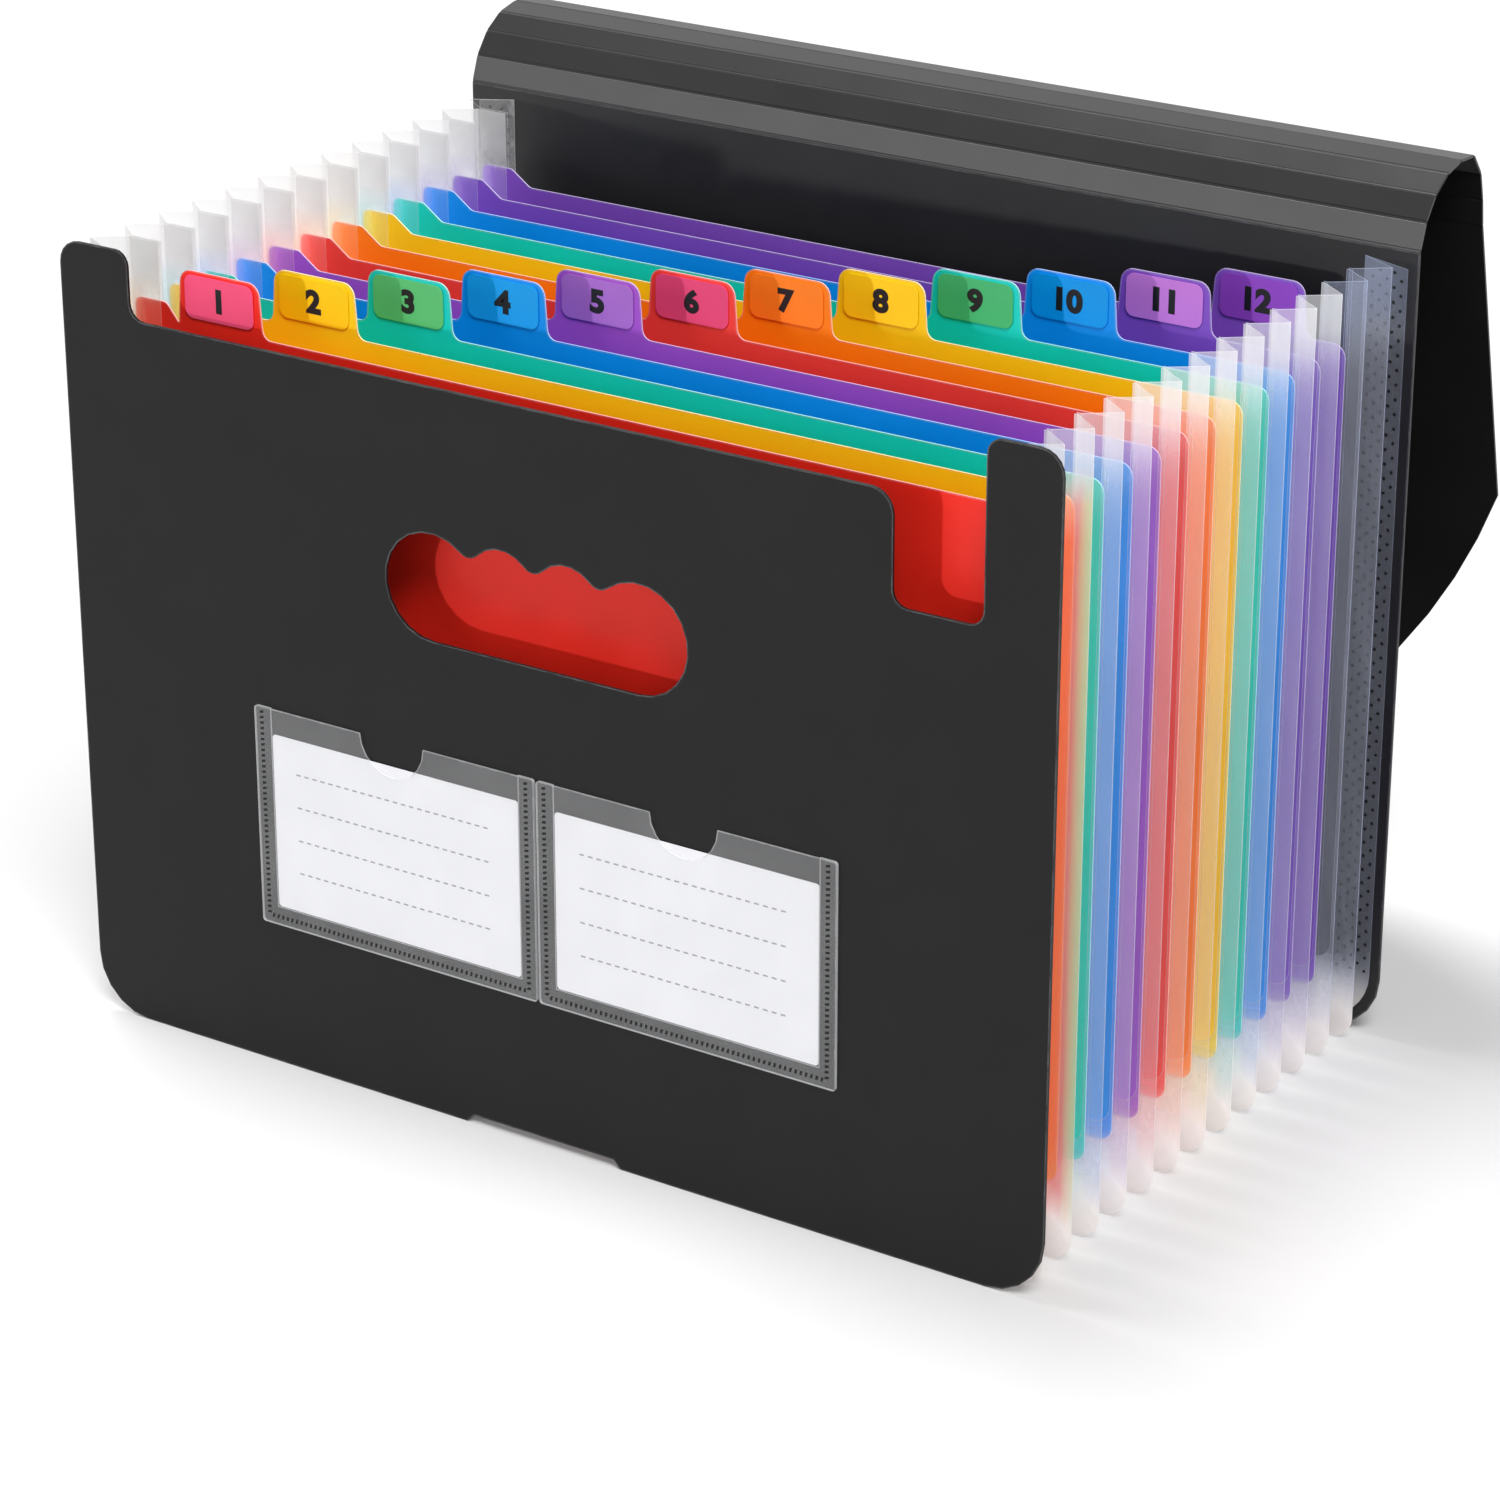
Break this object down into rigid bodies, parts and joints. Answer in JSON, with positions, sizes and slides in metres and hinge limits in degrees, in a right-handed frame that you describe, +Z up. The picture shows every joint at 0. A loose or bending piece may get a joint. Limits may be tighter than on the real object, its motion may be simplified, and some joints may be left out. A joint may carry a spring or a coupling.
{
  "type": "accordion file folder",
  "caption": "Expanding desktop file folder: stiff covers, clear pleated bellows, coloured tabbed dividers, a creased lid folded back, a handle cut-out and card pockets.",
  "frame": {"origin": "on the surface that the folder stands on, under the middle of its bounding box", "axes": "+X to the right of someone who faces the front cover, +Y from the front cover to the rear cover, +Z up"},
  "size_m": [0.33, 0.2794, 0.2645],
  "materials": {
    "black_sheet": "satin polypropylene sheet",
    "lid_sheet": "satin polypropylene sheet, scored",
    "clear_film": "clear film",
    "milky_film": "frosted film",
    "card": "matt paper card",
    "red_sheet": "satin translucent sheet",
    "amber_sheet": "satin translucent sheet",
    "teal_sheet": "satin translucent sheet",
    "blue_sheet": "satin translucent sheet",
    "purple_sheet": "satin translucent sheet",
    "crimson_sheet": "satin translucent sheet",
    "orange_sheet": "satin translucent sheet",
    "violet_sheet": "satin translucent sheet",
    "red_label": "satin printed label",
    "amber_label": "satin printed label",
    "teal_label": "satin printed label",
    "blue_label": "satin printed label",
    "purple_label": "satin printed label",
    "orange_label": "satin printed label"
  },
  "bodies": {
    "rear": {"rear_cover": "black_sheet", "pleat_13": "milky_film"},
    "leaf_12": {"divider_12": "violet_sheet", "tab_label_12": "purple_label", "pleat_12": "milky_film"},
    "leaf_11": {"divider_11": "violet_sheet", "tab_label_11": "purple_label", "pleat_11": "milky_film"},
    "leaf_10": {"divider_10": "blue_sheet", "tab_label_10": "blue_label", "pleat_10": "milky_film"},
    "leaf_09": {"divider_09": "teal_sheet", "tab_label_09": "teal_label", "pleat_09": "milky_film"},
    "leaf_08": {"divider_08": "amber_sheet", "tab_label_08": "amber_label", "pleat_08": "milky_film"},
    "leaf_07": {"divider_07": "orange_sheet", "tab_label_07": "orange_label", "pleat_07": "milky_film"},
    "leaf_06": {"divider_06": "crimson_sheet", "tab_label_06": "red_label", "pleat_06": "milky_film"},
    "leaf_05": {"divider_05": "purple_sheet", "tab_label_05": "purple_label", "pleat_05": "milky_film"},
    "leaf_04": {"divider_04": "blue_sheet", "tab_label_04": "blue_label", "pleat_04": "milky_film"},
    "leaf_03": {"divider_03": "teal_sheet", "tab_label_03": "teal_label", "pleat_03": "milky_film"},
    "leaf_02": {"divider_02": "amber_sheet", "tab_label_02": "amber_label", "pleat_02": "milky_film"},
    "leaf_01": {"divider_01": "red_sheet", "tab_label_01": "red_label", "pleat_01": "milky_film"},
    "front": {"front_cover": "black_sheet", "card_pocket_left": "clear_film", "card_pocket_right": "clear_film"},
    "card_left": {"label_card_left": "card"},
    "card_right": {"label_card_right": "card"},
    "strip_1": {"lid_strip_1": "lid_sheet"},
    "strip_2": {"lid_strip_2": "lid_sheet"},
    "strip_3": {"lid_strip_3": "lid_sheet"},
    "strip_4": {"lid_strip_4": "lid_sheet"},
    "strip_5": {"lid_strip_5": "lid_sheet"},
    "strip_6": {"lid_strip_6": "lid_sheet"},
    "strip_7": {"lid_strip_7": "lid_sheet"},
    "strip_8": {"lid_strip_8": "lid_sheet"},
    "flap": {"lid_flap": "lid_sheet"}
  },
  "joints": [
    {"name": "pocket_13", "type": "slide", "parent": "rear", "child": "leaf_12", "axis": [0, -1, 0], "range_m": [-0.0124, 0.005], "deforming": ["pleat_13"]},
    {"name": "pocket_12", "type": "slide", "parent": "leaf_12", "child": "leaf_11", "axis": [0, -1, 0], "range_m": [-0.0124, 0.005], "deforming": ["pleat_12"]},
    {"name": "pocket_11", "type": "slide", "parent": "leaf_11", "child": "leaf_10", "axis": [0, -1, 0], "range_m": [-0.0124, 0.005], "deforming": ["pleat_11"]},
    {"name": "pocket_10", "type": "slide", "parent": "leaf_10", "child": "leaf_09", "axis": [0, -1, 0], "range_m": [-0.0124, 0.005], "deforming": ["pleat_10"]},
    {"name": "pocket_09", "type": "slide", "parent": "leaf_09", "child": "leaf_08", "axis": [0, -1, 0], "range_m": [-0.0124, 0.005], "deforming": ["pleat_09"]},
    {"name": "pocket_08", "type": "slide", "parent": "leaf_08", "child": "leaf_07", "axis": [0, -1, 0], "range_m": [-0.0124, 0.005], "deforming": ["pleat_08"]},
    {"name": "pocket_07", "type": "slide", "parent": "leaf_07", "child": "leaf_06", "axis": [0, -1, 0], "range_m": [-0.0124, 0.005], "deforming": ["pleat_07"]},
    {"name": "pocket_06", "type": "slide", "parent": "leaf_06", "child": "leaf_05", "axis": [0, -1, 0], "range_m": [-0.0124, 0.005], "deforming": ["pleat_06"]},
    {"name": "pocket_05", "type": "slide", "parent": "leaf_05", "child": "leaf_04", "axis": [0, -1, 0], "range_m": [-0.0124, 0.005], "deforming": ["pleat_05"]},
    {"name": "pocket_04", "type": "slide", "parent": "leaf_04", "child": "leaf_03", "axis": [0, -1, 0], "range_m": [-0.0124, 0.005], "deforming": ["pleat_04"]},
    {"name": "pocket_03", "type": "slide", "parent": "leaf_03", "child": "leaf_02", "axis": [0, -1, 0], "range_m": [-0.0124, 0.005], "deforming": ["pleat_03"]},
    {"name": "pocket_02", "type": "slide", "parent": "leaf_02", "child": "leaf_01", "axis": [0, -1, 0], "range_m": [-0.0124, 0.005], "deforming": ["pleat_02"]},
    {"name": "pocket_01", "type": "slide", "parent": "leaf_01", "child": "front", "axis": [0, -1, 0], "range_m": [-0.0124, 0.005], "deforming": ["pleat_01"]},
    {"name": "card_left_slide", "type": "slide", "parent": "front", "child": "card_left", "axis": [0, 0, 1], "range_m": [0, 0.062]},
    {"name": "card_right_slide", "type": "slide", "parent": "front", "child": "card_right", "axis": [0, 0, 1], "range_m": [0, 0.062]},
    {"name": "lid_crease_1", "type": "hinge", "parent": "rear", "child": "strip_1", "pos_m": [0, 0.05691, 0.2434], "axis": [1, 0, 0], "range_deg": [0, 59]},
    {"name": "lid_crease_2", "type": "hinge", "parent": "strip_1", "child": "strip_2", "pos_m": [0, 0.05975, 0.2512], "axis": [1, 0, 0], "range_deg": [0, 53]},
    {"name": "lid_crease_3", "type": "hinge", "parent": "strip_2", "child": "strip_3", "pos_m": [0, 0.06486, 0.25774], "axis": [1, 0, 0], "range_deg": [0, 29]},
    {"name": "lid_crease_4", "type": "hinge", "parent": "strip_3", "child": "strip_4", "pos_m": [0, 0.07182, 0.26226], "axis": [1, 0, 0], "range_deg": [0, 20]},
    {"name": "lid_crease_5", "type": "hinge", "parent": "strip_4", "child": "strip_5", "pos_m": [0, 0.07991, 0.26413], "axis": [1, 0, 0], "range_deg": [0, 16]},
    {"name": "lid_crease_6", "type": "hinge", "parent": "strip_5", "child": "strip_6", "pos_m": [0, 0.0882, 0.26369], "axis": [1, 0, 0], "range_deg": [0, 48]},
    {"name": "lid_crease_7", "type": "hinge", "parent": "strip_6", "child": "strip_7", "pos_m": [0, 0.09342, 0.25724], "axis": [1, 0, 0], "range_deg": [0, 24]},
    {"name": "lid_crease_8", "type": "hinge", "parent": "strip_7", "child": "strip_8", "pos_m": [0, 0.09557, 0.24923], "axis": [1, 0, 0], "range_deg": [0, 7]},
    {"name": "flap_crease", "type": "hinge", "parent": "strip_8", "child": "flap", "pos_m": [0, 0.09672, 0.24101], "axis": [1, 0, 0], "range_deg": [-6, 0]}
  ],
  "couplings": [
    {"joint": "pocket_12", "follows": "pocket_13", "ratio": 1},
    {"joint": "pocket_11", "follows": "pocket_13", "ratio": 1},
    {"joint": "pocket_10", "follows": "pocket_13", "ratio": 1},
    {"joint": "pocket_09", "follows": "pocket_13", "ratio": 1},
    {"joint": "pocket_08", "follows": "pocket_13", "ratio": 1},
    {"joint": "pocket_07", "follows": "pocket_13", "ratio": 1},
    {"joint": "pocket_06", "follows": "pocket_13", "ratio": 1},
    {"joint": "pocket_05", "follows": "pocket_13", "ratio": 1},
    {"joint": "pocket_04", "follows": "pocket_13", "ratio": 1},
    {"joint": "pocket_03", "follows": "pocket_13", "ratio": 1},
    {"joint": "pocket_02", "follows": "pocket_13", "ratio": 1},
    {"joint": "pocket_01", "follows": "pocket_13", "ratio": 1}
  ]
}
